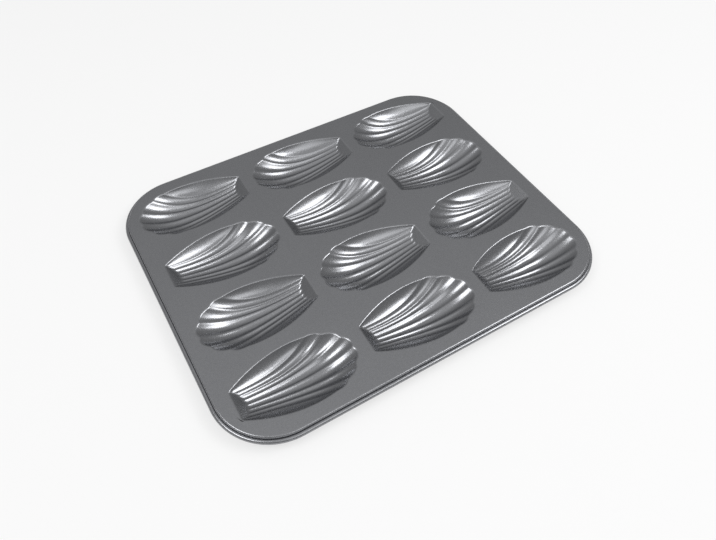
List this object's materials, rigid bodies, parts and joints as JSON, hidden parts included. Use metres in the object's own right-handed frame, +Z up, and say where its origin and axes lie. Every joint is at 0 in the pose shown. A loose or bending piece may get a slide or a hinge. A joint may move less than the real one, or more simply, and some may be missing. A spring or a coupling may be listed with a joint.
{
  "type": "madeleine pan",
  "caption": "Pressed steel madeleine pan with fluted shell-shaped cups set head to tail in a flat deck and a wired, rolled edge.",
  "frame": {"origin": "middle of the pan, on the surface that its cups stand on", "axes": "+X along the shells and the pan's long side, +Y along its short side, +Z up out of the cups"},
  "size_m": [0.2934, 0.2394, 0.0127],
  "materials": {
    "nonstick_steel": "grey metallic non-stick coating, fine-grained satin",
    "steel_wire": "plain drawn wire, hidden inside the rolled edge"
  },
  "bodies": {
    "root": {"deck": "nonstick_steel", "rolled_rim": "nonstick_steel", "rim_wire": "steel_wire", "shell_cup_row_1_column_1": "nonstick_steel", "shell_cup_row_1_column_2": "nonstick_steel", "shell_cup_row_1_column_3": "nonstick_steel", "shell_cup_row_2_column_1": "nonstick_steel", "shell_cup_row_2_column_2": "nonstick_steel", "shell_cup_row_2_column_3": "nonstick_steel", "shell_cup_row_3_column_1": "nonstick_steel", "shell_cup_row_3_column_2": "nonstick_steel", "shell_cup_row_3_column_3": "nonstick_steel", "shell_cup_row_4_column_1": "nonstick_steel", "shell_cup_row_4_column_2": "nonstick_steel", "shell_cup_row_4_column_3": "nonstick_steel"}
  },
  "joints": []
}
